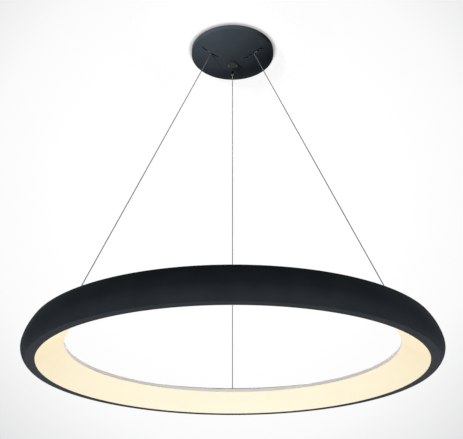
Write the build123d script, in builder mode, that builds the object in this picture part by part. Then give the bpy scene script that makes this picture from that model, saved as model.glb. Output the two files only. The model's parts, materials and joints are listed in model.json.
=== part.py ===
from build123d import *
import os
from math import atan2, cos, degrees, hypot, radians, sin, sqrt, tan

# LED ring pendant: a luminous ring hung by three thin wires from a shallow round canopy.
# Millimetres, +Z up. The origin is the middle of the ceiling plane; the far wire runs towards +Y.

# Overall sizes
ring_diameter = 610.0
ring_height = 47.6  # lower edge to the sharp corner of the shoulder
overall_height = 580.0  # ceiling to the ring's lower edge
canopy_diameter = 145.0
canopy_depth = 27.0
wire_diameter = 1.5
wire_angles = {"far": 90.0, "left": 210.0, "right": 330.0}

# Ring shell and its roof
band_width = 12.9  # flat lower band, from the lip to the wall
wall_bulge = 8.4  # how far the wall swells past the band
bulge_height = 16.6
bulge_end_angle = 12.0  # where the tight lower curve runs into the flatter upper one
shoulder_inset = 12.7
shoulder_radius = 4.0
shell_wall = 1.6
glow_width = 37.9  # luminous slope, measured across the ring
glow_height = 29.3
rim_height = 5.4  # light inner rim above the slope
roof_sheet = 1.6
roof_seat = 20.0  # from the widest wall to the step that takes the roof
ledge_width = 9.0

# Diffuser and inner trim
diffuser_wall = 2.5
diffuser_foot = 7.0  # flange that lies on the band
diffuser_foot_height = 2.0
trim_wall = 2.0
trim_flange = 3.5
trim_flange_height = 1.2

# Light source
carrier_offset = 8.0  # carrier's lit face behind the diffuser's front face
carrier_wall = 1.5
strip_along = 30.5  # middle of the strip, up the slope from the lip
strip_width = 10.0
strip_thickness = 0.8
strip_gap_angle = 2.5  # half of the gap between the strip's ends
strip_join_angle = 270.0
chip_count = 72
chip_size = (3.5, 2.8, 1.2)
lead_hole_angle = 4.0  # lead holes either side of the strip's join

# Wire anchors in the ring
anchor_inset = 44.4  # from the widest wall to where a wire meets the roof
boss_radius = 4.0
boss_depth = 3.0
bush_radius = 2.0
bush_flange_radius = 3.3
bush_flange_height = 1.0
bush_recess = 0.6
ferrule_radius = 2.0
ferrule_length = 4.0
ferrule_floor = 0.8
screw_count = 6
roof_screw_radius = 1.5
roof_screw_head = 3.0
roof_screw_length = 5.0

# Canopy cover
cover_wall = 1.2
dome_radius = 155.0
rim_round = 6.0
centre_flat = 10.0
slot_start = 24.0
slot_end = 60.5
slot_width = 3.0
wire_exit = 43.0  # distance from the axis where a wire leaves the cover
ceiling_gap = 0.5

# Cap nut, washer and stud
stud_radius = 2.5
stud_reach = 2.4  # stud below the washer
stud_embed = 10.0
spacer_across = 10.0
nut_radius = 8.6
nut_face_radius = 6.2
nut_height = 4.0
nut_edge_height = 2.2
washer_radius = 7.0
washer_height = 0.8

# Ceiling bracket
bracket_diameter = 124.0
bracket_sheet = 2.0
fixing_spacing = 80.0
fixing_slot_length = 14.0
fixing_slot_width = 5.0
tongue_width = 12.0
tongue_tip = 6.0  # tongue past the gripper's axis
window_relief = 1.5

# Wire grippers
plunger_radius = 2.5
plunger_clearance = 1.8  # plunger tip above the cover
plunger_reach = 3.5
plunger_depth = 5.0
plunger_travel = 2.0
gripper_radius = 4.5
gripper_length = 6.5
gripper_stud_radius = 3.0
gripper_nut_across = 9.0
gripper_nut_height = 2.4
stop_radius = 2.0
stop_length = 2.2

# Driver, terminals, cable entry and leads
driver_size = (42.0, 28.0, 12.0)
driver_corner = 3.0
driver_chamfer = 1.2
driver_centre = (0.0, -34.0)
driver_ear = (7.0, 9.0, 2.0)
driver_ear_shift = 5.0  # ears behind the middle of the driver
small_screw_radius = 1.5
small_screw_head = 2.8
small_screw_head_height = 1.8
terminal_size = (16.0, 26.0, 12.0)
terminal_place = (42.0, 30.0)  # distance from the axis and angle
terminal_poles = 3
terminal_hole_radius = 1.7
terminal_hole_depth = 4.0
entry_place = (42.0, 150.0)
entry_bore_radius = 4.0
entry_sleeve_radius = 6.0
entry_head_radius = 8.5
entry_head_height = 3.5
earth_place = (45.0, 62.0)
earth_screw_radius = 2.0
earth_head_radius = 4.0
earth_head_height = 3.0
lead_radius = 0.8

# Clearances
seat_gap = 0.1  # pieces that rest on each other
side_gap = 0.3  # pieces that stand beside each other
wire_gap = 0.15  # radial, round the wire
slide_gap = 0.05  # radial, plunger and stud fits

os.makedirs("parts", exist_ok=True)


def save(builder, label):
    builder.part.label = label
    export_step(builder.part, f"parts/{label}.step")


# Ring section in (distance from the axis, height above the lower edge)
outer_radius = ring_diameter / 2
band_radius = outer_radius - wall_bulge
lip_radius = band_radius - band_width
rim_radius = lip_radius - glow_width
rim_top = glow_height + rim_height
shoulder = (outer_radius - shoulder_inset, ring_height)
roof_angle = atan2(ring_height - rim_top, shoulder[0] - rim_radius)
glow_angle = atan2(glow_height, glow_width)
ring_plane = Plane(origin=(0, 0, -overall_height), x_dir=(1, 0, 0), z_dir=(0, -1, 0))
seat_radius = outer_radius - roof_seat
ledge_radius = seat_radius - ledge_width


def roof(radius, depth=0.0):
    """Height of the sloped roof at a radius, or of a line `depth` under it."""
    return rim_top + (radius - rim_radius) * tan(roof_angle) - depth / cos(roof_angle)


def glow(along, behind):
    """Section point `along` the luminous slope from the lip and `behind` its front face."""
    radius = lip_radius - along * cos(glow_angle) + behind * sin(glow_angle)
    return radius, along * sin(glow_angle) + behind * cos(glow_angle)


def glow_height_at(radius, behind):
    """Height at a radius of the line `behind` the luminous slope."""
    start = glow(0, behind)
    return start[1] + (start[0] - radius) * tan(glow_angle)


# Wire line: from its exit in the canopy dome to its anchor in the ring's roof
canopy_radius = canopy_diameter / 2


def dome_depth(radius):
    """Depth of the canopy's outer face under the ceiling."""
    sag = sqrt(dome_radius**2 - centre_flat**2) - sqrt(dome_radius**2 - radius**2)
    return canopy_depth - sag


anchor_radius = outer_radius - anchor_inset
exit_depth = dome_depth(wire_exit)
anchor_depth = overall_height - roof(anchor_radius)
wire_tilt = atan2(anchor_radius - wire_exit, anchor_depth - exit_depth)
hang = hypot(anchor_radius - wire_exit, anchor_depth - exit_depth)
wire_radius = wire_diameter / 2
wire_hole_radius = wire_radius + wire_gap


def polar(radius, angle, z=0.0):
    return Vector(radius * cos(radians(angle)), radius * sin(radians(angle)), z)


def wire_plane(angle, up):
    """Plane square to a wire, `up` the wire from its exit in the cover; +Y is inwards and down."""
    upwards = polar(-sin(wire_tilt), angle, cos(wire_tilt))
    start = polar(wire_exit, angle, -exit_depth)
    return Plane(origin=start + upwards * up, x_dir=polar(1, angle + 90), z_dir=upwards)


def anchor_plane(angle, down):
    """Plane square to a wire, `down` the wire from where it meets the ring's roof."""
    return wire_plane(angle, -hang - down)


def corner_radii(points):
    """As large a bend at each inner point of a lead as its two runs allow."""
    radii = []
    for before, here, after in zip(points, points[1:], points[2:]):
        turn = radians((here - before).get_angle(after - here))
        radii.append(0.45 * min((here - before).length, (after - here).length) / tan(turn / 2))
    return radii


def save_lead(points, label):
    """A round lead through the points, its corners bent in wide arcs."""
    with BuildPart() as lead:
        with BuildLine() as route:
            FilletPolyline(*points, radius=corner_radii(points))
        with BuildSketch(Plane(origin=route.line @ 0, z_dir=route.line % 0)):
            Circle(lead_radius)
        sweep(path=route.line)
    save(lead, label)


# Ring shell: band, swelling wall, shoulder and the ledge under the roof
bulge_radius = (wall_bulge**2 + bulge_height**2) / (2 * wall_bulge)
bulge_centre = (outer_radius - bulge_radius, bulge_height)
bulge_start_angle = -degrees(atan2(bulge_height, bulge_radius - wall_bulge))
bulge_arc = bulge_end_angle - bulge_start_angle
shell_depth = roof_sheet + shell_wall
ledge_root = (seat_radius + shoulder[0]) / 2
screw_circle = (seat_radius + ledge_radius) / 2
screw_places = [
    Plane(
        origin=polar(screw_circle, angle, roof(screw_circle) - overall_height),
        x_dir=polar(1, angle + 90),
        z_dir=polar(-sin(roof_angle), angle, cos(roof_angle)),
    )
    for angle in range(0, 360, 360 // screw_count)
]
with BuildPart() as ring_shell:
    with BuildSketch(ring_plane):
        with BuildLine() as wall:
            Line((lip_radius, 0), (band_radius, 0))
            bulge = CenterArc(bulge_centre, bulge_radius, bulge_start_angle, bulge_arc)
            TangentArc(bulge @ 1, shoulder, tangent=bulge % 1)
            Line(shoulder, (seat_radius, roof(seat_radius)))
            fillet(wall.vertices().sort_by_distance((*shoulder, 0))[0], shoulder_radius)
            offset(amount=shell_wall, side=Side.LEFT, kind=Kind.INTERSECTION)
        make_face()
        with BuildLine():
            Polyline(
                (ledge_root, roof(ledge_root)),
                (seat_radius, roof(seat_radius)),
                (seat_radius, roof(seat_radius, roof_sheet)),
                (ledge_radius, roof(ledge_radius, roof_sheet)),
                (ledge_radius, roof(ledge_radius, shell_depth)),
                (ledge_root, roof(ledge_root, shell_depth)),
                close=True,
            )
        make_face()
    revolve(axis=Axis.Z)
    for place in screw_places:
        with BuildSketch(place):
            Circle(roof_screw_radius + slide_gap)
        extrude(amount=-roof_screw_length, mode=Mode.SUBTRACT)
save(ring_shell, "ring_shell")

# Roof of the ring: sloped annular sheet with three bosses that take the wires
roof_inner = rim_radius + trim_wall + seat_gap
roof_outer = seat_radius - side_gap
with BuildPart() as ring_roof:
    with BuildSketch(ring_plane):
        with BuildLine():
            Polyline(
                (roof_inner, roof(roof_inner)),
                (roof_outer, roof(roof_outer)),
                (roof_outer, roof(roof_outer, roof_sheet - seat_gap)),
                (roof_inner, roof(roof_inner, roof_sheet - seat_gap)),
                close=True,
            )
        make_face()
    revolve(axis=Axis.Z)
    for angle in wire_angles.values():
        with BuildSketch(anchor_plane(angle, boss_depth)):
            Circle(boss_radius)
        extrude(amount=boss_depth)
    with BuildSketch(ring_plane):
        with BuildLine():
            Polyline(
                (roof_inner, roof(roof_inner)),
                (roof_outer, roof(roof_outer)),
                (roof_outer, roof(roof_outer, -boss_depth)),
                (roof_inner, roof(roof_inner, -boss_depth)),
                close=True,
            )
        make_face()
    revolve(axis=Axis.Z, mode=Mode.SUBTRACT)
    for angle in wire_angles.values():
        with BuildSketch(anchor_plane(angle, 2 * boss_depth)):
            Circle(bush_radius + slide_gap)
        extrude(amount=4 * boss_depth, mode=Mode.SUBTRACT)
    with Locations(*screw_places):
        CounterSinkHole(
            radius=roof_screw_radius + slide_gap,
            counter_sink_radius=roof_screw_head + slide_gap,
            depth=roof_screw_length,
        )
save(ring_roof, "ring_roof")

# Countersunk screws that hold the roof to the shell's ledge
with BuildPart() as roof_screws:
    for place in screw_places:
        with BuildSketch(place):
            Circle(roof_screw_radius)
        extrude(amount=-roof_screw_length)
        with BuildSketch(place):
            Circle(roof_screw_head)
        extrude(amount=-(roof_screw_head - roof_screw_radius), taper=45)
save(roof_screws, "roof_screws")

# Diffuser: sloped opal band whose foot lies on the shell's band
front_radius = lip_radius - side_gap
slope_reach = diffuser_wall / sin(glow_angle)
foot_low = shell_wall + seat_gap
foot_high = foot_low + diffuser_foot_height
diffuser_slope = (front_radius - rim_radius) / glow_height
with BuildPart() as diffuser:
    with BuildSketch(ring_plane):
        with BuildLine():
            Polyline(
                (front_radius, 0),
                (rim_radius, glow_height),
                (rim_radius + slope_reach, glow_height),
                (front_radius + slope_reach - foot_high * diffuser_slope, foot_high),
                (lip_radius + diffuser_foot, foot_high),
                (lip_radius + diffuser_foot, foot_low),
                (front_radius, foot_low),
                close=True,
            )
        make_face()
    revolve(axis=Axis.Z)
save(diffuser, "diffuser")

# Inner trim: narrow light rim with a flange under the roof's inner edge
trim_outer = rim_radius + trim_wall
flange_outer = trim_outer + trim_flange
with BuildPart() as inner_trim:
    with BuildSketch(ring_plane):
        with BuildLine():
            Polyline(
                (rim_radius, glow_height + seat_gap),
                (rim_radius, rim_top),
                (trim_outer, roof(trim_outer)),
                (trim_outer, roof(trim_outer, roof_sheet)),
                (flange_outer, roof(flange_outer, roof_sheet)),
                (flange_outer, roof(flange_outer, roof_sheet + trim_flange_height)),
                (trim_outer, roof(trim_outer, roof_sheet + trim_flange_height)),
                (trim_outer, glow_height + seat_gap),
                close=True,
            )
        make_face()
    revolve(axis=Axis.Z)
save(inner_trim, "inner_trim_ring")

# Where the feed leads run: beside the ferrules, then through the carrier near the strip's join
ferrule_top = boss_depth + bush_flange_height + 2 * seat_gap
ferrule_middle = ferrule_top + ferrule_length / 2
lead_reach = (ferrule_radius + lead_radius + seat_gap) / cos(wire_tilt)
lead_circle = anchor_radius + ferrule_middle * sin(wire_tilt) + lead_reach
lead_height = roof(anchor_radius) - ferrule_middle * cos(wire_tilt)
lead_along = (lip_radius - lead_circle) * cos(glow_angle) + lead_height * sin(glow_angle)
lead_join_angles = {
    "left": strip_join_angle - lead_hole_angle,
    "right": strip_join_angle + lead_hole_angle,
}
grommet_radius = 2 * lead_radius


def lead_plane(angle, behind):
    """Plane facing the diffuser where a feed lead goes through the carrier."""
    radius, height = glow(lead_along, behind)
    return Plane(
        origin=polar(radius, angle, height - overall_height),
        x_dir=polar(1, angle + 90),
        z_dir=polar(-sin(glow_angle), angle, -cos(glow_angle)),
    )


# LED carrier: bent sheet parallel to the diffuser, from the band up to the roof's underside
foot_radius = band_radius - shell_wall - side_gap - carrier_wall
back_height = glow_height_at(rim_radius, carrier_offset + carrier_wall)
back_excess = back_height - roof(rim_radius, roof_sheet + seat_gap)
back_reach = back_excess / (tan(roof_angle) + tan(glow_angle))
head_radius = rim_radius + back_reach - carrier_wall * sin(glow_angle)
with BuildPart() as led_carrier:
    with BuildSketch(ring_plane):
        with BuildLine():
            Polyline(
                (foot_radius, shell_wall + seat_gap),
                (foot_radius, glow_height_at(foot_radius, carrier_offset)),
                (head_radius, glow_height_at(head_radius, carrier_offset)),
            )
            offset(amount=carrier_wall, side=Side.RIGHT, kind=Kind.INTERSECTION)
        make_face()
    revolve(axis=Axis.Z)
    for angle in lead_join_angles.values():
        with BuildSketch(lead_plane(angle, carrier_offset + 2 * carrier_wall)):
            Circle(grommet_radius)
        extrude(amount=4 * carrier_wall, mode=Mode.SUBTRACT)
save(led_carrier, "led_carrier")

# Grommets in the carrier's two lead holes
with BuildPart() as lead_grommets:
    for angle in lead_join_angles.values():
        with BuildSketch(lead_plane(angle, carrier_offset + carrier_wall + lead_radius)):
            Circle(grommet_radius - slide_gap)
            Circle(lead_radius + slide_gap, mode=Mode.SUBTRACT)
        extrude(amount=carrier_wall + lead_radius)
save(lead_grommets, "lead_grommets")

# LED strip: flexible board on the carrier's lit face, open at its join
strip_low = strip_along - strip_width / 2
strip_high = strip_along + strip_width / 2
strip_back = carrier_offset - seat_gap
strip_front = strip_back - strip_thickness
strip_start = strip_join_angle + strip_gap_angle
strip_plane = Plane(
    origin=(0, 0, -overall_height),
    x_dir=polar(1, strip_start),
    z_dir=polar(1, strip_start - 90),
)
with BuildPart() as led_strip:
    with BuildSketch(strip_plane):
        with BuildLine():
            Polyline(
                glow(strip_low, strip_back),
                glow(strip_high, strip_back),
                glow(strip_high, strip_front),
                glow(strip_low, strip_front),
                close=True,
            )
        make_face()
    revolve(axis=Axis.Z, revolution_arc=360 - 2 * strip_gap_angle)
save(led_strip, "led_strip")

# LED chips: evenly spaced on the strip, facing the diffuser
chip_step = (360 - 2 * strip_gap_angle) / chip_count
chip_radius, chip_height = glow(strip_along, strip_front - seat_gap)
chip_angles = [strip_start + (index + 0.5) * chip_step for index in range(chip_count)]
chip_places = [
    Plane(
        origin=polar(chip_radius, angle, chip_height - overall_height),
        x_dir=polar(1, angle + 90),
        z_dir=polar(-sin(glow_angle), angle, -cos(glow_angle)),
    )
    for angle in chip_angles
]
with BuildPart() as led_chips:
    with Locations(*chip_places):
        Box(*chip_size, align=(Align.CENTER, Align.CENTER, Align.MIN))
save(led_chips, "led_chips")

# Wire anchors: insulating bush through each boss, and the ferrule crimped on the wire's end
for name, angle in wire_angles.items():
    with BuildPart() as anchor_bush:
        with BuildSketch(anchor_plane(angle, boss_depth + bush_flange_height + seat_gap)):
            Circle(bush_flange_radius)
        extrude(amount=bush_flange_height)
        with BuildSketch(anchor_plane(angle, boss_depth + seat_gap)):
            Circle(bush_radius)
        extrude(amount=boss_depth + seat_gap - bush_recess)
        with BuildSketch(anchor_plane(angle, 2 * boss_depth)):
            Circle(wire_hole_radius)
        extrude(amount=2 * boss_depth, mode=Mode.SUBTRACT)
    save(anchor_bush, f"anchor_bush_{name}")

    with BuildPart() as wire_ferrule:
        with BuildSketch(anchor_plane(angle, ferrule_top + ferrule_length)):
            Circle(ferrule_radius)
        extrude(amount=ferrule_length)
        with BuildSketch(anchor_plane(angle, ferrule_top)):
            Circle(wire_hole_radius)
        extrude(amount=-(ferrule_length - ferrule_floor), mode=Mode.SUBTRACT)
    save(wire_ferrule, f"wire_ferrule_{name}")

# Feed leads inside the ring: from two ferrules round to the strip's join
lead_steps = 5
for name, join_angle in lead_join_angles.items():
    first = wire_angles[name]
    step = (join_angle - first) / lead_steps
    lead_angles = [first + index * step for index in range(lead_steps + 1)]
    route_points = [polar(lead_circle, angle, lead_height - overall_height) for angle in lead_angles]
    route_points.append(lead_plane(join_angle, strip_back + seat_gap).origin)
    save_lead(route_points, f"feed_lead_{name}")

# Canopy cover: shallow dome with a rounded rim and a radial slot for each wire
wall_low = dome_depth(canopy_radius)
dome_middle = (centre_flat + canopy_radius) / 2
hole_radius = stud_radius + side_gap
with BuildPart() as canopy_cover:
    with BuildSketch(Plane.XZ):
        with BuildLine() as outline:
            Line((canopy_radius, -ceiling_gap), (canopy_radius, -wall_low))
            ThreePointArc(
                (canopy_radius, -wall_low),
                (dome_middle, -dome_depth(dome_middle)),
                (centre_flat, -canopy_depth),
            )
            Line((centre_flat, -canopy_depth), (hole_radius, -canopy_depth))
            fillet(outline.vertices().sort_by_distance((canopy_radius, 0, -wall_low))[0], rim_round)
            offset(amount=cover_wall, side=Side.RIGHT, kind=Kind.INTERSECTION)
        make_face()
    revolve(axis=Axis.Z)
    with BuildSketch(Plane.XY.offset(-canopy_depth - slot_width)):
        with PolarLocations((slot_start + slot_end) / 2, len(wire_angles), start_angle=wire_angles["far"]):
            SlotOverall(slot_end - slot_start, slot_width)
    extrude(amount=canopy_depth, mode=Mode.SUBTRACT)
save(canopy_cover, "canopy_cover")

# Washer and cap nut under the cover, on the centre stud
washer_top = -canopy_depth - seat_gap
nut_top = washer_top - washer_height - seat_gap
stud_low = nut_top - stud_reach
with BuildPart() as cap_washer:
    with BuildSketch(Plane.XY.offset(washer_top)):
        Circle(washer_radius)
        Circle(hole_radius, mode=Mode.SUBTRACT)
    extrude(amount=-washer_height)
save(cap_washer, "cap_washer")

with BuildPart() as cap_nut:
    with BuildSketch(Plane.XZ):
        with BuildLine():
            Polyline(
                (0, nut_top),
                (nut_radius, nut_top),
                (nut_radius, nut_top - nut_edge_height),
                (nut_face_radius, nut_top - nut_height),
                (0, nut_top - nut_height),
                close=True,
            )
        make_face()
    revolve(axis=Axis.Z)
    with BuildSketch(Plane.XY.offset(nut_top)):
        Circle(stud_radius + slide_gap)
    extrude(amount=-stud_reach - side_gap, mode=Mode.SUBTRACT)
save(cap_nut, "cap_nut")

# Hex spacer and stud in the middle of the canopy
spacer_low = -canopy_depth + cover_wall + seat_gap
with BuildPart() as hex_spacer:
    with BuildSketch(Plane.XY.offset(-bracket_sheet)):
        RegularPolygon(spacer_across / 2, 6, major_radius=False)
    extrude(amount=spacer_low + bracket_sheet)
    with BuildSketch(Plane.XY.offset(spacer_low)):
        Circle(stud_radius)
    extrude(amount=stud_embed, mode=Mode.SUBTRACT)
save(hex_spacer, "hex_spacer")

with BuildPart() as centre_stud:
    with BuildSketch(Plane.XY.offset(stud_low)):
        Circle(stud_radius)
    extrude(amount=spacer_low + stud_embed - stud_low)
save(centre_stud, "centre_stud")

# Places along a wire inside the canopy, measured up from its exit in the cover
plunger_tip = cover_wall + plunger_clearance
gripper_low = plunger_tip + plunger_reach
tongue_low = gripper_low + gripper_length
tongue_high = tongue_low + bracket_sheet
gripper_high = tongue_high + gripper_nut_height + side_gap
stop_low = gripper_high + seat_gap
stop_high = stop_low + stop_length
tongue_middle = (tongue_low + tongue_high) / 2
tongue_depth = exit_depth - tongue_middle * cos(wire_tilt)
tongue_root = (tongue_depth - bracket_sheet / 2) / sin(wire_tilt)
bend_radius = wire_exit - tongue_middle * sin(wire_tilt) + tongue_root * cos(wire_tilt)
window_inner = bend_radius - tongue_root - tongue_tip - window_relief
window_outer = bend_radius - window_relief
window_middle = (window_inner + window_outer) / 2

# Ceiling bracket: round plate with three bent tongues, ceiling slots and fixing holes
fitting_top = -bracket_sheet - seat_gap
terminal_point = polar(*terminal_place)
entry_point = polar(*entry_place)
earth_point = polar(*earth_place)
ear_x = driver_centre[0] + (driver_size[0] + driver_ear[0]) / 2
ear_y = driver_centre[1] - driver_ear_shift
driver_screw_points = [(-ear_x, ear_y), (ear_x, ear_y)]
small_screw_points = [*driver_screw_points, terminal_point]
with BuildPart() as ceiling_bracket:
    with BuildSketch(Plane.XY):
        Circle(bracket_diameter / 2)
        with PolarLocations(window_middle, len(wire_angles), start_angle=wire_angles["far"]):
            Rectangle(window_outer - window_inner, tongue_width + 2 * window_relief, mode=Mode.SUBTRACT)
        with Locations((-fixing_spacing / 2, 0), (fixing_spacing / 2, 0)):
            SlotOverall(fixing_slot_length, fixing_slot_width, mode=Mode.SUBTRACT)
        with Locations(*small_screw_points):
            Circle(small_screw_radius + slide_gap, mode=Mode.SUBTRACT)
        with Locations(entry_point):
            Circle(entry_sleeve_radius + slide_gap, mode=Mode.SUBTRACT)
        with Locations(earth_point):
            Circle(earth_screw_radius + slide_gap, mode=Mode.SUBTRACT)
    extrude(amount=-bracket_sheet)
    for angle in wire_angles.values():
        with BuildSketch(wire_plane(angle, tongue_low)):
            with Locations((0, (tongue_tip - tongue_root) / 2)):
                Rectangle(tongue_width, tongue_tip + tongue_root)
            Circle(gripper_stud_radius + slide_gap, mode=Mode.SUBTRACT)
        extrude(amount=bracket_sheet)
    with BuildSketch(Plane.XY):
        Circle(bracket_diameter / 2)
    extrude(amount=bracket_sheet, mode=Mode.SUBTRACT)
save(ceiling_bracket, "ceiling_bracket")

# Wire grippers: body, nut and release plunger on each wire, with the wire and its stop
wire_low = ferrule_top + ferrule_length - ferrule_floor - seat_gap
for name, angle in wire_angles.items():
    with BuildPart() as gripper_body:
        with BuildSketch(wire_plane(angle, gripper_low)):
            Circle(gripper_radius)
        extrude(amount=gripper_length)
        with BuildSketch(wire_plane(angle, tongue_low)):
            Circle(gripper_stud_radius)
        extrude(amount=gripper_high - tongue_low)
        with BuildSketch(wire_plane(angle, gripper_low)):
            Circle(plunger_radius + slide_gap)
        extrude(amount=plunger_depth, mode=Mode.SUBTRACT)
        with BuildSketch(wire_plane(angle, gripper_low)):
            Circle(wire_hole_radius)
        extrude(amount=gripper_high - gripper_low, mode=Mode.SUBTRACT)
    save(gripper_body, f"gripper_body_{name}")

    with BuildPart() as gripper_nut:
        with BuildSketch(wire_plane(angle, tongue_high + seat_gap)):
            RegularPolygon(gripper_nut_across / 2, 6, major_radius=False)
            Circle(gripper_stud_radius + slide_gap, mode=Mode.SUBTRACT)
        extrude(amount=gripper_nut_height)
    save(gripper_nut, f"gripper_nut_{name}")

    with BuildPart() as gripper_plunger:
        with BuildSketch(wire_plane(angle, plunger_tip)):
            Circle(plunger_radius)
            Circle(wire_hole_radius, mode=Mode.SUBTRACT)
        extrude(amount=plunger_reach + plunger_depth - plunger_travel - side_gap)
    save(gripper_plunger, f"gripper_plunger_{name}")

    with BuildPart() as wire_stop:
        with BuildSketch(wire_plane(angle, stop_low)):
            Circle(stop_radius)
            Circle(wire_hole_radius, mode=Mode.SUBTRACT)
        extrude(amount=stop_length)
    save(wire_stop, f"wire_stop_{name}")

    with BuildPart() as suspension_wire:
        with BuildSketch(anchor_plane(angle, wire_low)):
            Circle(wire_radius)
        extrude(amount=wire_low + hang + stop_high)
    save(suspension_wire, f"suspension_wire_{name}")

# LED driver: moulded case with two screw ears, flat against the bracket
with BuildPart() as led_driver:
    with BuildSketch(Plane.XY.offset(fitting_top)):
        with Locations(driver_centre):
            RectangleRounded(driver_size[0], driver_size[1], driver_corner)
    extrude(amount=-driver_size[2])
    chamfer(led_driver.faces().sort_by(Axis.Z)[0].edges(), driver_chamfer)
    with BuildSketch(Plane.XY.offset(fitting_top)):
        with Locations(*driver_screw_points):
            Rectangle(driver_ear[0], driver_ear[1])
            Circle(small_screw_radius + slide_gap, mode=Mode.SUBTRACT)
    extrude(amount=-driver_ear[2])
save(led_driver, "led_driver")

ear_face = fitting_top - driver_ear[2] - seat_gap
with BuildPart() as driver_screws:
    with BuildSketch(Plane.XY.offset(-bracket_sheet / 2)):
        with Locations(*driver_screw_points):
            Circle(small_screw_radius)
    extrude(amount=ear_face + bracket_sheet / 2)
    with BuildSketch(Plane.XY.offset(ear_face)):
        with Locations(*driver_screw_points):
            Circle(small_screw_head)
    extrude(amount=-small_screw_head_height)
save(driver_screws, "driver_screws")

# Mains terminal block: a wire hole at each end of every pole, a clamp-screw well, and its fixing screw
terminal_plane = Plane(
    origin=(terminal_point.X, terminal_point.Y, fitting_top),
    x_dir=polar(1, terminal_place[1]),
    z_dir=(0, 0, 1),
)
pole_step = terminal_size[1] / terminal_poles
pole_offsets = [(index - (terminal_poles - 1) / 2) * pole_step for index in range(terminal_poles)]
hole_level = -terminal_size[2] / 2
with BuildPart() as terminal_block:
    with BuildSketch(terminal_plane):
        Rectangle(terminal_size[0], terminal_size[1])
        Circle(small_screw_radius + slide_gap, mode=Mode.SUBTRACT)
    extrude(amount=-terminal_size[2])
    for pole in pole_offsets:
        for side in (-1, 1):
            end_point = terminal_plane.from_local_coords((side * terminal_size[0] / 2, pole, hole_level))
            with BuildSketch(Plane(origin=end_point, z_dir=terminal_plane.x_dir * -side)):
                Circle(terminal_hole_radius)
            extrude(amount=terminal_hole_depth, mode=Mode.SUBTRACT)
            well_point = (side * terminal_size[0] / 3, pole, -terminal_size[2])
            with BuildSketch(Plane(origin=terminal_plane.from_local_coords(well_point))):
                Circle(terminal_hole_radius)
            extrude(amount=terminal_hole_depth / 2, mode=Mode.SUBTRACT)
save(terminal_block, "terminal_block")

block_face = fitting_top - terminal_size[2] - seat_gap
with BuildPart() as terminal_screw:
    with BuildSketch(Plane.XY.offset(-bracket_sheet / 2)):
        with Locations(terminal_point):
            Circle(small_screw_radius)
    extrude(amount=block_face + bracket_sheet / 2)
    with BuildSketch(Plane.XY.offset(block_face)):
        with Locations(terminal_point):
            Circle(small_screw_head)
    extrude(amount=-small_screw_head_height)
save(terminal_screw, "terminal_screw")

# Entry bush: flanged rubber sleeve through the bracket for the mains cable
with BuildPart() as entry_bush:
    with BuildSketch(Plane.XY):
        with Locations(entry_point):
            Circle(entry_sleeve_radius)
    extrude(amount=fitting_top)
    with BuildSketch(Plane.XY.offset(fitting_top)):
        with Locations(entry_point):
            Circle(entry_head_radius)
    extrude(amount=-entry_head_height)
    with BuildSketch(Plane.XY):
        with Locations(entry_point):
            Circle(entry_bore_radius)
    extrude(amount=fitting_top - entry_head_height, mode=Mode.SUBTRACT)
save(entry_bush, "entry_bush")

# Earth screw in the bracket
with BuildPart() as earth_screw:
    with BuildSketch(Plane.XY):
        with Locations(earth_point):
            Circle(earth_screw_radius)
    extrude(amount=fitting_top)
    with BuildSketch(Plane.XY.offset(fitting_top)):
        with Locations(earth_point):
            Circle(earth_head_radius)
    extrude(amount=-earth_head_height)
save(earth_screw, "earth_screw")

# Mains leads: from two poles of the terminal block to the driver's inner face
lead_inset = terminal_hole_depth - seat_gap
inner_end = -terminal_size[0] / 2 + lead_inset
driver_face = driver_centre[1] + driver_size[1] / 2 + seat_gap
lead_level = fitting_top + hole_level
lead_clear = 12.0  # straight run of a lead before its first bend
driver_entries = {"live": pole_step, "neutral": 2 * pole_step}
for name, pole in zip(driver_entries, reversed(pole_offsets[:2])):
    lead_start = terminal_plane.from_local_coords((inner_end, pole, hole_level))
    lead_bend = terminal_plane.from_local_coords((inner_end - lead_clear, pole, hole_level))
    lead_end = Vector(driver_entries[name], driver_face, lead_level)
    end_bend = lead_end + Vector(0, lead_clear / 2, 0)
    save_lead([lead_start, lead_bend, end_bend, lead_end], f"mains_lead_{name}")

# Earth lead: from the third pole to the head of the earth screw
earth_local = terminal_plane.to_local_coords(earth_point)
earth_pole = pole_offsets[-1]
earth_run = -terminal_size[0] / 2 - lead_clear / 2
earth_side = earth_local.X - earth_head_radius - seat_gap
earth_level = -earth_head_height / 2
earth_points = [
    (inner_end, earth_pole, hole_level),
    (earth_run, earth_pole, hole_level),
    (earth_run, earth_local.Y, earth_level),
    (earth_side, earth_local.Y, earth_level),
]
save_lead([terminal_plane.from_local_coords(point) for point in earth_points], "earth_lead")

# Output leads: from the driver's ends to the stops on the two wires that carry the current
stop_middle = (stop_low + stop_high) / 2
for name, side in (("left", 1), ("right", -1)):
    stop_plane = wire_plane(wire_angles[name], stop_middle)
    stop_end = stop_plane.from_local_coords((side * (stop_radius + seat_gap), 0, 0))
    stop_bend = stop_plane.from_local_coords((side * lead_clear / 2, 0, 0))
    driver_end = Vector(-side * (driver_size[0] / 2 + seat_gap), driver_centre[1] + pole_step, lead_level)
    driver_bend = driver_end + Vector(-side * lead_clear / 4, 0, 0)
    save_lead([driver_end, driver_bend, stop_bend, stop_end], f"output_lead_{name}")
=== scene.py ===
import json
from math import asin, atan2, cos, hypot, radians, sin, sqrt, tan, tau

import bmesh
import bpy
from mathutils import Matrix, Vector


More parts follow.
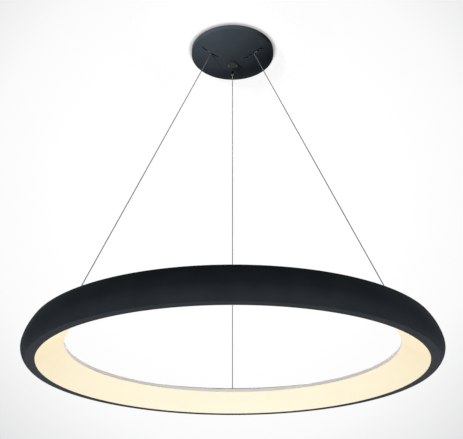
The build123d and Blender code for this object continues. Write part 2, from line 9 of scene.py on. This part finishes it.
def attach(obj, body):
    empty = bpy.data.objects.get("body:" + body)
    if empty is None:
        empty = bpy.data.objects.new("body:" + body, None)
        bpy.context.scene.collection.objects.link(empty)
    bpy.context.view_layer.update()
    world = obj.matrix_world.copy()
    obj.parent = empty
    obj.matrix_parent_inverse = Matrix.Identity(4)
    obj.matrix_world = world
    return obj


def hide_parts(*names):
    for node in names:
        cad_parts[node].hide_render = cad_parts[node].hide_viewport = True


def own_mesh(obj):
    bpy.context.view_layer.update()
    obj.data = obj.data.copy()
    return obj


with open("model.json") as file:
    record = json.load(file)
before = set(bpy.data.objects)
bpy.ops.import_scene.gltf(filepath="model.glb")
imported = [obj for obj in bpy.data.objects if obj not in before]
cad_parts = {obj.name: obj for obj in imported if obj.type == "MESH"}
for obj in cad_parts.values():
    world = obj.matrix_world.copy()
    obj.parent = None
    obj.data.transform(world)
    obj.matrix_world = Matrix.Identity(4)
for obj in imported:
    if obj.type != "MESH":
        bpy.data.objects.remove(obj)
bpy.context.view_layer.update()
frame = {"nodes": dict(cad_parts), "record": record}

scene = bpy.context.scene
scene.view_settings.view_transform = "Standard"

# Sizes in metres and places in the shared frame, as in the part's source
wire_radius = 0.00075
wire_angles = {"far": 90.0, "left": 210.0, "right": 330.0}
wire_upper_end = (0.03528, -0.00279)  # distance from the axis and height, inside the wire stop
wire_lower_end = (0.26342, -0.54793)  # inside the ferrule below the ring's roof
lip_height = -0.58
lip_radius = 0.2837
ceiling_height = 0.0008
floor_height = -2.4
ring_middle = (0.0, 0.0, -0.56)
canopy_middle = (0.0, 0.0, -0.02)

# Camera, set out in the pixels of the 463 by 439 frame
frame_width = 463
focal_length = 800.0
sensor_width = 36.0
camera_place = (-0.0018, -1.151, -0.8928)
camera_pitch = 25.93


def place_camera():
    data = bpy.data.cameras.new("camera")
    data.sensor_width = sensor_width
    data.lens = focal_length * sensor_width / frame_width
    camera = bpy.data.objects.new("camera", data)
    tilt = Matrix.Rotation(radians(90.0 + camera_pitch), 4, "X")
    camera.matrix_world = Matrix.Translation(camera_place) @ tilt
    scene.collection.objects.link(camera)
    scene.camera = camera


place_camera()


# Node helpers: every texture is laid out in object coordinates, so its scale is in features per metre
def start_material(name):
    made = bpy.data.materials.new(name)
    made.use_nodes = True
    return made, made.node_tree, made.node_tree.nodes["Principled BSDF"]


def noise(tree, scale, detail=2.0, stretch=(1.0, 1.0, 1.0)):
    place = tree.nodes.new("ShaderNodeTexCoord")
    mapping = tree.nodes.new("ShaderNodeMapping")
    mapping.inputs["Scale"].default_value = stretch
    texture = tree.nodes.new("ShaderNodeTexNoise")
    texture.inputs["Scale"].default_value = scale
    texture.inputs["Detail"].default_value = detail
    tree.links.new(place.outputs["Object"], mapping.inputs["Vector"])
    tree.links.new(mapping.outputs["Vector"], texture.inputs["Vector"])
    return texture.outputs["Fac"]


def spread(tree, source, source_low, source_high, low, high):
    node = tree.nodes.new("ShaderNodeMapRange")
    node.inputs["From Min"].default_value = source_low
    node.inputs["From Max"].default_value = source_high
    node.inputs["To Min"].default_value = low
    node.inputs["To Max"].default_value = high
    tree.links.new(source, node.inputs["Value"])
    return node.outputs["Result"]


def axis_share(tree, axis, low, high):
    place = tree.nodes.new("ShaderNodeTexCoord")
    split = tree.nodes.new("ShaderNodeSeparateXYZ")
    tree.links.new(place.outputs["Object"], split.inputs["Vector"])
    return spread(tree, split.outputs[axis], low, high, 0.0, 1.0)


def tones(tree, source, *stops):
    node = tree.nodes.new("ShaderNodeValToRGB")
    elements = node.color_ramp.elements
    while len(elements) < len(stops):
        elements.new(0.5)
    for element, (position, colour) in zip(elements, stops):
        element.position = position
        element.color = (*colour, 1.0)
    tree.links.new(source, node.inputs["Fac"])
    return node.outputs["Color"]


def combine(tree, operation, first, second):
    node = tree.nodes.new("ShaderNodeMath")
    node.operation = operation
    tree.links.new(first, node.inputs[0])
    tree.links.new(second, node.inputs[1])
    return node.outputs["Value"]


def shade(colour, factor):
    return tuple(factor * value for value in colour)


# Surface helpers: colour, roughness and fine relief that vary with a texture
def paint(tree, shader, source, dark, light, low=0.3, high=0.7):
    mottle = tones(tree, source, (low, dark), (high, light))
    tree.links.new(mottle, shader.inputs["Base Color"])


def dull(tree, shader, source, roughness, reach):
    gloss = spread(tree, source, 0.3, 0.7, roughness - reach, roughness + reach)
    tree.links.new(gloss, shader.inputs["Roughness"])


def skin(tree, shader, source, distance, strength):
    node = tree.nodes.new("ShaderNodeBump")
    node.inputs["Distance"].default_value = distance
    node.inputs["Strength"].default_value = strength
    tree.links.new(source, node.inputs["Height"])
    tree.links.new(node.outputs["Normal"], shader.inputs["Normal"])


# Materials
def powder_coat(name, colour, roughness, specular):
    made, tree, shader = start_material(name)
    paint(tree, shader, noise(tree, 30.0), shade(colour, 0.93), shade(colour, 1.07), 0.35, 0.65)
    grain = noise(tree, 1500.0, 1.0)
    dull(tree, shader, grain, roughness, 0.05)
    shader.inputs["Specular IOR Level"].default_value = specular
    skin(tree, shader, grain, 0.00006, 0.25)
    return made


def opal_acrylic(name, side_glow_painted_dimmer, far_glow_painted_brighter, strength):
    made, tree, shader = start_material(name)
    paint(tree, shader, noise(tree, 40.0), (0.39, 0.375, 0.34), (0.42, 0.405, 0.37))
    # The glow is painted brighter and paler towards the far (+Y) side and dimmer and warmer at the sides,
    # standing in for the lamps' light on the diffuser
    depth = axis_share(tree, "Y", -0.05, lip_radius)
    glow = tones(tree, depth, (0.0, side_glow_painted_dimmer), (1.0, far_glow_painted_brighter))
    tree.links.new(glow, shader.inputs["Emission Color"])
    shader.inputs["Emission Strength"].default_value = strength
    frosting = noise(tree, 900.0, 1.0)
    dull(tree, shader, frosting, 0.50, 0.05)
    skin(tree, shader, frosting, 0.00003, 0.15)
    return made


def satin_paint(name, colour, roughness):
    made, tree, shader = start_material(name)
    paint(tree, shader, noise(tree, 50.0), shade(colour, 0.96), shade(colour, 1.03))
    peel = noise(tree, 420.0, 1.0)
    dull(tree, shader, peel, roughness, 0.04)
    skin(tree, shader, peel, 0.00005, 0.15)
    return made


def drawn_metal(name, colour, roughness, scale, stretch):
    made, tree, shader = start_material(name)
    shader.inputs["Metallic"].default_value = 1.0
    lines = noise(tree, scale, 3.0, stretch)
    paint(tree, shader, lines, shade(colour, 0.85), shade(colour, 1.1))
    dull(tree, shader, lines, roughness, 0.08)
    skin(tree, shader, lines, 0.00002, 0.2)
    return made


def moulded_plastic(name, colour, roughness, grain_scale):
    made, tree, shader = start_material(name)
    paint(tree, shader, noise(tree, 120.0), shade(colour, 0.94), shade(colour, 1.05))
    spark = noise(tree, grain_scale, 1.0)
    dull(tree, shader, spark, roughness, 0.06)
    skin(tree, shader, spark, 0.00004, 0.3)
    return made


def led_phosphor(name, colour, strength):
    made, tree, shader = start_material(name)
    speckle = tones(tree, noise(tree, 3000.0), (0.3, shade(colour, 0.85)), (0.7, colour))
    tree.links.new(speckle, shader.inputs["Base Color"])
    tree.links.new(speckle, shader.inputs["Emission Color"])
    shader.inputs["Emission Strength"].default_value = strength
    shader.inputs["Roughness"].default_value = 0.4
    return made


anthracite = (0.037, 0.045, 0.054)
# The canopy's coat is the ring's anthracite painted a shade lighter, standing in for stronger light on the
# canopy
canopy_coat_painted_lighter = powder_coat("canopy_powder_coat_painted_lighter", shade(anthracite, 1.2), 0.65, 0.015)
materials = {
    "dark_paint": powder_coat("anthracite_powder_coat", anthracite, 0.65, 0.015),
    "dark_hardware": powder_coat("black_oxide", (0.016, 0.0155, 0.015), 0.26, 0.28),
    "light_trim": satin_paint("light_grey_satin", (0.80, 0.78, 0.75), 0.40),
    # the opal's side and far glow colours carry a painted brightening towards the far side
    "opal": opal_acrylic("lit_opal", (0.76, 0.614, 0.347), (0.975, 0.91, 0.675), 0.80),
    "wire_steel": drawn_metal("stranded_steel", (0.16, 0.16, 0.165), 0.65, 900.0, (1.0, 1.0, 0.1)),
    "zinc_steel": drawn_metal("zinc_plated_steel", (0.50, 0.51, 0.525), 0.46, 260.0, (1.0, 0.2, 1.0)),
    "nickel_brass": drawn_metal("black_nickel_plate", (0.085, 0.082, 0.078), 0.42, 900.0, (1.0, 1.0, 0.2)),
    "crimp_copper": drawn_metal("tinned_copper", (0.72, 0.55, 0.42), 0.38, 1200.0, (1.0, 1.0, 0.3)),
    "white_carrier": satin_paint("white_reflector", (0.80, 0.80, 0.78), 0.50),
    "led_board": moulded_plastic("white_circuit_board", (0.76, 0.77, 0.74), 0.45, 900.0),
    "led_phosphor": led_phosphor("yellow_phosphor", (0.95, 0.78, 0.32), 0.6),
    "insulator": moulded_plastic("black_nylon", (0.12, 0.12, 0.12), 0.45, 1400.0),
    "driver_case": moulded_plastic("white_driver_case", (0.62, 0.63, 0.62), 0.48, 1100.0),
    "terminal_plastic": moulded_plastic("ivory_terminal_plastic", (0.62, 0.61, 0.57), 0.42, 1300.0),
    "entry_rubber": moulded_plastic("black_rubber", (0.025, 0.025, 0.026), 0.72, 1600.0),
    "brown_lead": moulded_plastic("brown_insulation", (0.12, 0.055, 0.025), 0.42, 1500.0),
    "blue_lead": moulded_plastic("blue_insulation", (0.03, 0.11, 0.36), 0.42, 1500.0),
    "green_lead": moulded_plastic("green_insulation", (0.12, 0.33, 0.06), 0.42, 1500.0),
    "red_lead": moulded_plastic("red_insulation", (0.45, 0.03, 0.025), 0.42, 1500.0),
    "black_lead": moulded_plastic("black_insulation", (0.022, 0.022, 0.024), 0.42, 1500.0),
}


# Every node takes the material of its slot in the record, and the canopy's coat is the ring's paint painted
# lighter, standing in for more light
def dress_nodes():
    for part in frame["record"]["subparts"]:
        node = frame["nodes"][part["node"]]
        node.material_slots[0].material = materials[part["material_slot"]]
    frame["nodes"]["canopy_cover"].material_slots[0].material = canopy_coat_painted_lighter


dress_nodes()

# Ring shell: the part's own section turned in fine steps, so that its long curves stay smooth
outer_radius = 0.305
wall_bulge = 0.0084
bulge_height = 0.0166
bulge_end = radians(12.0)
rim_radius = 0.2458
rim_top = 0.0347
shoulder = Vector((0.2923, 0.0476))
shoulder_radius = 0.004
seat_radius = 0.285
ledge_radius = 0.276
shell_wall = 0.0016
shell_turns = 288
arc_step = radians(3.0)
sharp_angle = radians(25.0)
roof_angle = atan2(shoulder.y - rim_top, shoulder.x - rim_radius)


def arc(centre, radius, start, end):
    steps = max(2, round(abs(end - start) / arc_step))
    angles = [start + (end - start) * step / steps for step in range(steps + 1)]
    return [centre + radius * Vector((cos(angle), sin(angle))) for angle in angles]


def roof(radius, depth):
    return Vector((radius, rim_top + (radius - rim_radius) * tan(roof_angle) - depth / cos(roof_angle)))


def shell_outline():
    # The bulge rises from the lip, and the wall's longer arc goes on from it in the same direction
    bulge_radius = (wall_bulge**2 + bulge_height**2) / (2 * wall_bulge)
    bulge_centre = Vector((outer_radius - bulge_radius, bulge_height))
    bulge_start = -atan2(bulge_height, bulge_radius - wall_bulge)
    inwards = -Vector((cos(bulge_end), sin(bulge_end)))
    bulge_top = bulge_centre - bulge_radius * inwards
    chord = shoulder - bulge_top
    wall_radius = chord.length_squared / (2 * inwards.dot(chord))
    wall_centre = bulge_top + wall_radius * inwards
    # The shoulder's rounding touches the wall's arc and the line of the roof
    along_roof = -Vector((cos(roof_angle), sin(roof_angle)))
    under_roof = Vector((sin(roof_angle), -cos(roof_angle)))
    gap = shoulder + shoulder_radius * under_roof - wall_centre
    half = gap.dot(along_roof)
    shift = -half - sqrt(half**2 - gap.length_squared + (wall_radius - shoulder_radius) ** 2)
    round_centre = wall_centre + gap + shift * along_roof
    round_start = atan2(round_centre.y - wall_centre.y, round_centre.x - wall_centre.x)
    round_end = radians(90.0) + roof_angle
    # The inside follows at one wall's thickness, and the ledge below the seat carries the roof sheet
    inner_start = asin((shell_wall - bulge_height) / (bulge_radius - shell_wall))
    ledge_root = (seat_radius + shoulder.x) / 2
    outside = [
        Vector((lip_radius, 0.0)),
        *arc(bulge_centre, bulge_radius, bulge_start, bulge_end),
        *arc(wall_centre, wall_radius, bulge_end, round_start)[1:],
        *arc(round_centre, shoulder_radius, round_start, round_end)[1:],
        roof(seat_radius, 0.0),
    ]
    ledge = [
        roof(seat_radius, shell_wall),
        roof(ledge_radius, shell_wall),
        roof(ledge_radius, 2 * shell_wall),
        roof(ledge_root, 2 * shell_wall),
        roof(ledge_root, shell_wall),
    ]
    inside = [
        *arc(round_centre, shoulder_radius - shell_wall, round_end, round_start),
        *arc(wall_centre, wall_radius - shell_wall, round_start, bulge_end)[1:],
        *arc(bulge_centre, bulge_radius - shell_wall, bulge_end, inner_start)[1:],
        Vector((lip_radius, shell_wall)),
    ]
    return outside + ledge + inside


# Rows of points, each of the same count and closed round, are joined by faces to the row after
def join_rows(shape, rows):
    for first, second in rows:
        for step in range(len(first)):
            after = (step + 1) % len(first)
            shape.faces.new((first[step], second[step], second[after], first[after]))


def finish_piece(name, shape, slot):
    data = bpy.data.meshes.new(name)
    shape.to_mesh(data)
    shape.free()
    data.materials.append(materials[slot])
    piece = bpy.data.objects.new(name, data)
    scene.collection.objects.link(piece)
    return piece


def make_ring_shell():
    outline = shell_outline()
    shape = bmesh.new()
    rows = []
    for turn in range(shell_turns):
        angle = tau * turn / shell_turns
        out = Vector((cos(angle), sin(angle), 0.0))
        row = [shape.verts.new(point.x * out + Vector((0.0, 0.0, lip_height + point.y))) for point in outline]
        rows.append(row)
    join_rows(shape, zip(rows, rows[1:] + rows[:1]))
    bmesh.ops.recalc_face_normals(shape, faces=shape.faces)
    for face in shape.faces:
        face.smooth = True
    shell = finish_piece("smooth_ring_shell", shape, "dark_paint")
    shell.data.set_sharp_from_angle(angle=sharp_angle)
    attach(shell, "ring")
    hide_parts("ring_shell")


make_ring_shell()

# Suspension wires: six strands laid round a core, twisted along a straight route
strand_count = 6
strand_points = 4
strand_depth = 0.07
lay_length = 0.012
wire_steps = 400


def wire_point(angle, place):
    return Vector((place[0] * cos(radians(angle)), place[0] * sin(radians(angle)), place[1]))


def route_points(name, start, end):
    data = bpy.data.curves.new(name, "CURVE")
    data.dimensions = "3D"
    data.resolution_u = wire_steps
    spline = data.splines.new("NURBS")
    spline.points.add(1)
    spline.points[0].co = (*start, 1.0)
    spline.points[1].co = (*end, 1.0)
    spline.order_u = 3
    spline.use_endpoint_u = True
    carrier = bpy.data.objects.new(name, data)
    mesh = bpy.data.meshes.new_from_object(carrier)
    points = [vertex.co.copy() for vertex in mesh.vertices]
    bpy.data.meshes.remove(mesh)
    bpy.data.objects.remove(carrier)
    bpy.data.curves.remove(data)
    return points


def strand_radius(turn):
    return wire_radius * (1.0 - strand_depth * (1.0 - abs(cos(strand_count / 2 * turn))))


def make_wire(name, angle):
    start = wire_point(angle, wire_upper_end)
    end = wire_point(angle, wire_lower_end)
    along = (end - start).normalized()
    side = along.orthogonal().normalized()
    across = along.cross(side)
    points = route_points(f"{name}_route", start, end)
    shape = bmesh.new()
    rows = []
    around = strand_count * strand_points
    for point in points:
        twist = tau * (point - start).length / lay_length
        row = []
        for step in range(around):
            turn = tau * step / around
            out = cos(turn + twist) * side + sin(turn + twist) * across
            row.append(shape.verts.new(point + strand_radius(turn) * out))
        rows.append(row)
    join_rows(shape, zip(rows, rows[1:]))
    shape.faces.new(reversed(rows[0]))
    shape.faces.new(rows[-1])
    bmesh.ops.recalc_face_normals(shape, faces=shape.faces)
    for face in shape.faces:
        face.smooth = len(face.verts) == 4
    return finish_piece(name, shape, "wire_steel"), points


def hang_wires():
    for key, angle in wire_angles.items():
        wire, points = make_wire(f"stranded_wire_{key}", angle)
        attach(wire, "canopy")
        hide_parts(f"suspension_wire_{key}")
        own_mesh(wire)


hang_wires()


# Stage: a pale floor far below and a white ceiling that keeps the canopy's soft shadow, partly cast on its
# matt part and partly painted into its glow
def stage_sheet(name, size, height, faces_down):
    data = bpy.data.meshes.new(name)
    half = size / 2
    corners = [(-half, -half, height), (half, -half, height), (half, half, height), (-half, half, height)]
    data.from_pydata(corners, [], [(3, 2, 1, 0) if faces_down else (0, 1, 2, 3)])
    sheet = bpy.data.objects.new(name, data)
    scene.collection.objects.link(sheet)
    return sheet


# 1 for what the camera sees straight, in a reflection or through glass, and 0 for light on the object
def seen_share(tree):
    path = tree.nodes.new("ShaderNodeLightPath")
    direct = combine(tree, "MAXIMUM", path.outputs["Is Camera Ray"], path.outputs["Is Glossy Ray"])
    return combine(tree, "MAXIMUM", direct, path.outputs["Is Transmission Ray"])


def painted_contact_shade(tree, reach):
    node = tree.nodes.new("ShaderNodeAmbientOcclusion")
    node.samples = 8
    node.inputs["Distance"].default_value = reach
    return node.outputs["AO"]


def stage_material(name, colour, own_light, painted_shade_reach):
    made = bpy.data.materials.new(name)
    made.use_nodes = True
    tree = made.node_tree
    tree.nodes.remove(tree.nodes["Principled BSDF"])
    matt = tree.nodes.new("ShaderNodeBsdfDiffuse")
    matt.inputs["Color"].default_value = (*colour, 1.0)
    glow = tree.nodes.new("ShaderNodeEmission")
    # The glow dims where ambient occlusion finds the object near, a painted contact shadow on the stage
    level = spread(tree, painted_contact_shade(tree, painted_shade_reach), 0.4, 1.0, 0.0, own_light)
    tree.links.new(combine(tree, "MULTIPLY", seen_share(tree), level), glow.inputs["Strength"])
    both = tree.nodes.new("ShaderNodeAddShader")
    tree.links.new(matt.outputs["BSDF"], both.inputs[0])
    tree.links.new(glow.outputs["Emission"], both.inputs[1])
    return made, tree, both


# A sheet turns clear between two distances from the middle, and is clear from behind
def fade_out(tree, shader, inner, outer):
    place = tree.nodes.new("ShaderNodeTexCoord")
    reach = tree.nodes.new("ShaderNodeVectorMath")
    reach.operation = "LENGTH"
    tree.links.new(place.outputs["Object"], reach.inputs[0])
    near = spread(tree, reach.outputs["Value"], inner, outer, 1.0, 0.0)
    geometry = tree.nodes.new("ShaderNodeNewGeometry")
    front = spread(tree, geometry.outputs["Backfacing"], 0.0, 1.0, 1.0, 0.0)
    clear = tree.nodes.new("ShaderNodeBsdfTransparent")
    mix = tree.nodes.new("ShaderNodeMixShader")
    tree.links.new(combine(tree, "MULTIPLY", near, front), mix.inputs["Fac"])
    tree.links.new(clear.outputs["BSDF"], mix.inputs[1])
    tree.links.new(shader.outputs["Shader"], mix.inputs[2])
    tree.links.new(mix.outputs["Shader"], tree.nodes["Material Output"].inputs["Surface"])


def build_stage():
    floor = stage_sheet("floor", 14.0, floor_height, False)
    floor_paint, tree, shader = stage_material("pale_floor", (0.78, 0.78, 0.78), 0.62, 0.05)
    fade_out(tree, shader, 1.5, 6.5)
    floor.data.materials.append(floor_paint)
    ceiling = stage_sheet("ceiling", 1.4, ceiling_height, True)
    ceiling_paint, tree, shader = stage_material("white_ceiling", (0.2, 0.2, 0.2), 0.90, 0.008)
    fade_out(tree, shader, 0.09, 0.2)
    ceiling.data.materials.append(ceiling_paint)
    ceiling.visible_shadow = False
    ceiling.visible_diffuse = False


build_stage()

# Light: spots that each take one side of the ring or the canopy, and panels for the inner rim and the roof
white = (1.0, 1.0, 1.0)
cool_white = (0.98, 0.99, 1.0)
cooler_white = (0.96, 0.985, 1.0)
warm_white = (1.0, 0.97, 0.93)


def set_lamp(data, place, target, power, colour):
    data.energy = power
    data.color = colour
    lamp = bpy.data.objects.new(data.name, data)
    aim = (Vector(target) - Vector(place)).to_track_quat("-Z", "Y")
    lamp.matrix_world = Matrix.Translation(place) @ aim.to_matrix().to_4x4()
    lamp.visible_camera = False
    scene.collection.objects.link(lamp)


def soft_spot(name, place, target, cone, size, power, colour):
    data = bpy.data.lights.new(name, "SPOT")
    data.spot_size = radians(cone)
    data.spot_blend = 0.25
    data.shadow_soft_size = size
    set_lamp(data, place, target, power, colour)


def soft_panel(name, place, target, size, power, colour):
    data = bpy.data.lights.new(name, "AREA")
    data.shape = "DISK"
    data.size = size
    set_lamp(data, place, target, power, colour)


def build_lights():
    soft_spot("canopy_spot", (-0.874, -1.40, -0.43), canopy_middle, 12.0, 0.08, 176.0, cooler_white)
    for side in (-1, 1):
        soft_spot(f"front_spot_{side}", (0.9 * side, -1.2, -1.62), ring_middle, 22.0, 0.1, 31.5, white)
        soft_spot(f"back_spot_{side}", (1.1 * side, 1.7, -1.35), ring_middle, 19.5, 0.1, 52.0, cool_white)
    soft_panel("rim_panel", (0.0, 0.0, -0.40), ring_middle, 0.08, 0.6, warm_white)
    soft_panel("roof_panel", (0.0, 1.3, 1.2), ring_middle, 1.0, 28.0, white)


build_lights()

# Surround: dim light for the object, more of it from below, and a backdrop that is white around one axis
light_from_below = 0.17
light_from_above = 0.04
surround_tint = (0.94, 0.97, 1.0)
backdrop_elevation = radians(27.4)
backdrop_white_angle = radians(12.0)
backdrop_grey_angle = radians(23.0)
backdrop_grey = (0.765, 0.77, 0.775)
backdrop_pale = (0.955, 0.957, 0.96)


def build_surround():
    world = bpy.data.worlds.new("surround")
    scene.world = world
    world.use_nodes = True
    tree = world.node_tree
    dim = tree.nodes["Background"]
    dim.inputs["Color"].default_value = (*surround_tint, 1.0)
    place = tree.nodes.new("ShaderNodeTexCoord")
    split = tree.nodes.new("ShaderNodeSeparateXYZ")
    tree.links.new(place.outputs["Generated"], split.inputs["Vector"])
    level = spread(tree, split.outputs["Z"], -1.0, 1.0, light_from_below, light_from_above)
    tree.links.new(level, dim.inputs["Strength"])
    seen = tree.nodes.new("ShaderNodeBackground")
    turned = tree.nodes.new("ShaderNodeVectorMath")
    turned.operation = "DOT_PRODUCT"
    turned.inputs[1].default_value = (0.0, cos(backdrop_elevation), sin(backdrop_elevation))
    tree.links.new(place.outputs["Generated"], turned.inputs[0])
    share = spread(
        tree, turned.outputs["Value"], cos(backdrop_grey_angle), cos(backdrop_white_angle), 0.0, 1.0
    )
    pale = tones(tree, share, (0.0, backdrop_grey), (0.60, backdrop_pale), (1.0, white))
    tree.links.new(pale, seen.inputs["Color"])
    mix = tree.nodes.new("ShaderNodeMixShader")
    tree.links.new(seen_share(tree), mix.inputs["Fac"])
    tree.links.new(dim.outputs["Background"], mix.inputs[1])
    tree.links.new(seen.outputs["Background"], mix.inputs[2])
    tree.links.new(mix.outputs["Shader"], tree.nodes["World Output"].inputs["Surface"])


build_surround()
